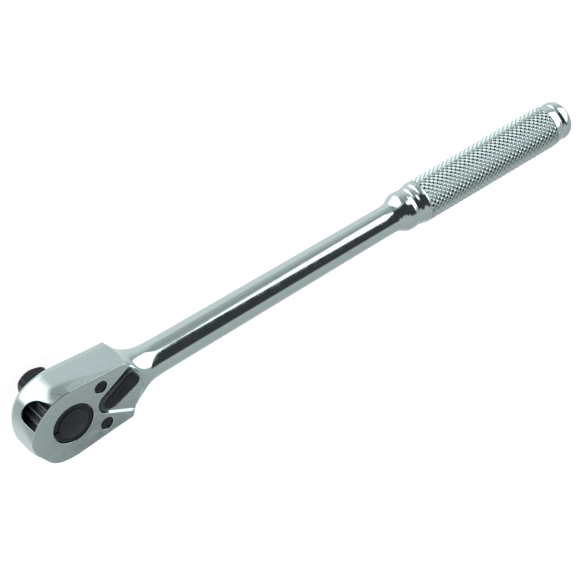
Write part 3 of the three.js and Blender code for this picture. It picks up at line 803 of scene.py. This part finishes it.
head_mesh = surface(handle_head, (-16, -14.5, -6.9), (HEAD_JOIN, 14.5, 6.9), 0.18, HEAD_JOIN)
grip_mesh = knurled(GRIP_START, KNURL_END, GRIP_RADIUS, KNURL_PITCH, KNURL_DEPTH)
add_piece("handle", [head_mesh, turned(shaft_line), grip_mesh, turned(end_line)],
          "head_and_handle", CHROME, "chrome_forging", "handle_body")

# ---- the black pieces: shape, grid box and step, body, look, slot and CAD node ----
SHAPED = [
    ("gear_and_square", drive_gear, (-11.5, -11.5, -17.1), (11.5, 11.5, 7.1), 0.15, "drive",
     DRIVE, "black_oxide_drive", "drive_gear"),
    ("lever", reversing_lever, (8.5, -4.5, -4.6), (25.5, 11, 7.4), 0.12, "lever",
     LEVER, "black_oxide_lever", "reversing_lever"),
    ("cover", cover_plate, (-12.8, -12.8, -6.5), (22.2, 12.8, -4.3), 0.2, "head_and_handle",
     PLATE, "black_oxide_plate", "cover_plate"),
    ("ring", retaining_ring, (-7.2, -7.2, 5.2), (7.2, 7.2, 6.2), 0.12, "drive",
     SMALL, "black_oxide_ring", "retaining_ring"),
    ("ball", detent_ball, (2.0, -2.0, -13.6), (6.0, 2.0, -9.6), 0.12, "ball",
     BALL, "bright_ball", "detent_ball"),
]
for side, word in ((1, "left"), (-1, "right")):
    y = side * PIN_Y
    SHAPED.append((f"pin_{word}", pawl_pin(side), (8.3, y - 2.5, -6.4), (13.3, y + 2.5, 6.2),
                   0.14, "head_and_handle", SMALL, "black_oxide_pin", f"pawl_pin_{word}"))
    y = side * SCREW_Y
    SHAPED.append((f"screw_{word}", cover_screw(side), (16.9, y - 2.5, -6.5),
                   (21.9, y + 2.5, -1.1), 0.12, "head_and_handle", SMALL,
                   "black_oxide_screw", f"cover_screw_{word}"))
for name, shape, low, high, step, body, material, slot, node in SHAPED:
    add_piece(name, [surface(shape, low, high, step)], body, material, slot, node)

# ---- springs, each a coil drawn from its fixed end to its free end, between the two bodies that it pushes apart ----
# name, x of the fixed and the free end, y, z, radii of coil and wire, the two bodies, CAD node
SPRINGS = [
    ("detent_coil", -1.3, 1.8, 0, BALL_LEVEL, 1.05, 0.22, "drive", "ball", "detent_spring"),
    ("pawl_coil_left", 16.7, 13.6, 4.3, 0, 0.9, 0.2, "head_and_handle", "left_pawl",
     "pawl_spring_left"),
    ("pawl_coil_right", 16.7, 14.9, -4.3, 0, 0.9, 0.2, "head_and_handle", "right_pawl",
     "pawl_spring_right"),
]
for name, fixed, free, y, z, radius, wire, body, pushed, node in SPRINGS:
    spring = add_piece(name, coil(fixed, free, y, z, radius, wire), None, WIRE, "spring_wire", node)
    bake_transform(spring)

# ---- CAD nodes that stay, with their materials ----
for name, material in (("pawl_left", PAWL), ("pawl_right", PAWL), ("selector_cam", PAWL),
                       ("selector_clip", WIRE)):
    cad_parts[name].data.materials.clear()
    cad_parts[name].data.materials.append(material)

# ---- floor: it glows almost white, so that only a faint shadow shows ----
FLOOR_REACH = 6.0
FLOOR_GAP = 0.5 * MM
FLOOR_GLOW = 0.92
floor_mesh = bpy.data.meshes.new("floor")
floor_mesh.from_pydata([(x * FLOOR_REACH, y * FLOOR_REACH, 0)
                        for x, y in ((-1, -1), (1, -1), (1, 1), (-1, 1))], [], [(0, 1, 2, 3)])
floor = bpy.data.objects.new("floor", floor_mesh)
floor.location.z = CAD_BOX[0].z - FLOOR_GAP
bpy.context.scene.collection.objects.link(floor)
floor_material, n = new_material("pale_floor")
paper = n.add("ShaderNodeBsdfDiffuse", {"Color": (0.3, 0.3, 0.3, 1)})
glow = n.add("ShaderNodeEmission", {"Color": (1, 1, 1, 1), "Strength": FLOOR_GLOW})
paper_and_glow = n.add("ShaderNodeAddShader", {0: paper.outputs[0], 1: glow.outputs[0]})
n.add("ShaderNodeOutputMaterial", {0: paper_and_glow.outputs[0]})
floor_mesh.materials.append(floor_material)
floor.visible_glossy = False

# ---- studio: soft panels round the object, given by the direction they lie in ----
# how bright each part of it is
CEILING_LIGHT = 0.045
PANEL_LIGHT = 1.9
LOW_PANEL_LIGHT = 1.7
LOW_BAND_LIGHT = 0.38
BACK_PANEL_LIGHT = 1.3
PATCH_LIGHT = 0.23
NOSE_LIGHT = 0.1
# where they lie, in degrees of azimuth or height
PATCH_AZIMUTH, PATCH_HEIGHT = -67.0, 36.8
PANEL_MIDDLE = 7.0        # where the white panel's top edge is highest
PANEL_TOP = 50.0
PANEL_BOTTOM = -15.0
PANEL_CORNER = 52.0       # past this azimuth the bottom edge curves up

world = bpy.data.worlds.new("studio")
bpy.context.scene.world = world
world.use_nodes = True
n = Nodes(world.node_tree)
direction = n.add("ShaderNodeTexCoord").outputs["Generated"]
dx, dy, dz = n.add("ShaderNodeSeparateXYZ", {0: direction}).outputs
azimuth = n.times(n.math("ARCTAN2", dy, dx), 180 / math.pi)
height = n.times(n.math("ARCSINE", dz, 0.0), 180 / math.pi)


def grey(value):
    return (value, value, value, 1)


def by_height(levels):
    """A grey that changes with the height angle, from (degrees, brightness) pairs."""
    shades = n.add("ShaderNodeValToRGB", {0: n.scale(height, -90, 90, 0, 1)})
    stops = shades.color_ramp.elements
    while len(stops) < len(levels):
        stops.new(0.5)
    for stop, (degrees, value) in zip(stops, levels):
        stop.position = (degrees + 90) / 180
        stop.color = grey(value)
    return shades.outputs[0]


far_side = by_height([(-90, 0.76), (-38, 0.73), (-15, 0.66), (12, 0.46), (38, 0.46), (66, 0.5)])
near_side = by_height([(-90, 0.78), (-60, 0.76), (-38, 0.72), (-29, 0.6), (-19, 0.42), (-10, 0.36),
                       (8, 0.42), (66, 0.5)])
light = n.mix(n.step(azimuth, -4, 6), far_side, near_side)
# dimmer ahead of the nose
light = n.mix(n.times(n.step(dx, -0.35, -0.8), 0.38), light, grey(NOSE_LIGHT))
# a small dim patch that the flat face mirrors, perhaps the photographer
turn, rise = math.radians(PATCH_AZIMUTH), math.radians(PATCH_HEIGHT)
patch = (math.cos(rise) * math.cos(turn), math.cos(rise) * math.sin(turn), math.sin(rise))
away = n.add("ShaderNodeVectorMath", {0: direction, 1: patch}, operation="DISTANCE").outputs["Value"]
light = n.mix(n.step(away, 0.008, 0.046), grey(PATCH_LIGHT), light)
# the low white panel on the near side, with a darker band beside it; their edges lean, and
# lean back a little in the lowest part
slant = n.math("ADD", dx, n.times(dz, 0.73))
below = n.math("MAXIMUM", n.math("SUBTRACT", -0.707, dz), 0.0)
slant = n.math("ADD", slant, n.times(below, 0.96))
low_band = n.times(n.band(slant, (-0.36, -0.2), (0.0, 0.12)), n.band(dz, (-0.68, -0.5), (-0.1, 0.1)),
                   n.step(dy, 0.05, 0.25))
light = n.mix(low_band, light, grey(LOW_BAND_LIGHT))
low_panel = n.times(n.fall(slant, -0.42, -0.22), n.fall(dz, -0.02, 0.14), n.step(dy, 0.15, 0.5))
light = n.mix(low_panel, light, grey(LOW_PANEL_LIGHT))
# the dark ceiling above the white panel and behind the camera, but not overhead
past = n.math("SUBTRACT", azimuth, PANEL_MIDDLE)
squared = n.times(past, past)
drop = n.math("ADD", n.times(squared, 0.003), n.times(squared, squared, 1.6e-6))
over = n.math("SUBTRACT", height, n.math("SUBTRACT", PANEL_TOP, drop))
dark = n.times(n.step(over, -1.5, 1.5), n.band(azimuth, (-26, 1), (72, 90)))
behind_camera = n.times(n.band(azimuth, (69, 75), (150, 165)), n.step(height, 6, 18))
dark = n.times(n.math("MAXIMUM", dark, behind_camera), n.fall(height, 74, 86))
light = n.mix(dark, light, grey(CEILING_LIGHT))
# the white panel beyond the handle
late = n.math("MAXIMUM", n.math("SUBTRACT", azimuth, PANEL_CORNER), 0.0)
bottom = n.math("ADD", n.times(late, late, 0.14), PANEL_BOTTOM)
panel = n.times(n.fall(over, -1.5, 1.0), n.step(n.math("SUBTRACT", height, bottom), -2.0, 3.0),
                n.band(azimuth, (4, 9), (66, 69)))
light = n.mix(panel, light, grey(PANEL_LIGHT))
# a soft panel far behind, which only the far side shows
back_panel = n.times(n.band(azimuth, (-180, -172), (-152, -142)), n.band(height, (18, 28), (48, 58)))
light = n.mix(back_panel, light, grey(BACK_PANEL_LIGHT))
# the camera itself sees plain white
seen = n.add("ShaderNodeLightPath").outputs["Is Camera Ray"]
light = n.mix(seen, light, grey(1.0))
background = n.add("ShaderNodeBackground", {"Color": light, "Strength": 1.0})
n.add("ShaderNodeOutputWorld", {0: background.outputs[0]})

# ---- a softbox overhead, which is not mirrored ----
SOFTBOX_AT = Vector((0.25, 0.25, 1.1))
SOFTBOX_AIM = Vector((0.08, 0, 0))
SOFTBOX_POWER = 5.5
softbox = bpy.data.lights.new("overhead_softbox", "AREA")
softbox.shape = "RECTANGLE"
softbox.size, softbox.size_y = 0.9, 0.7
softbox.energy = SOFTBOX_POWER
softbox_object = bpy.data.objects.new("overhead_softbox", softbox)
softbox_object.location = SOFTBOX_AT
softbox_object.rotation_euler = (SOFTBOX_AIM - SOFTBOX_AT).to_track_quat("-Z", "Y").to_euler()
softbox_object.visible_glossy = False
bpy.context.scene.collection.objects.link(softbox_object)

# ---- camera: where the photograph's own stood, in metres and degrees ----
CAMERA_AT = (-0.194645, 0.461051, 0.416715)
CAMERA_TURN = (-40.9132, -38.2299, -4.5852)
FOCAL_LENGTH, SENSOR_WIDTH = 136.02, 36
lens = bpy.data.cameras.new("camera")
lens.sensor_width = SENSOR_WIDTH
lens.lens = FOCAL_LENGTH
lens.clip_start = 0.01
lens.clip_end = 20
camera = bpy.data.objects.new("camera", lens)
camera.location = CAMERA_AT
camera.rotation_euler = Euler([math.radians(a) for a in CAMERA_TURN], "XYZ")
bpy.context.scene.collection.objects.link(camera)
bpy.context.scene.camera = camera
bpy.context.scene.view_settings.view_transform = "Standard"
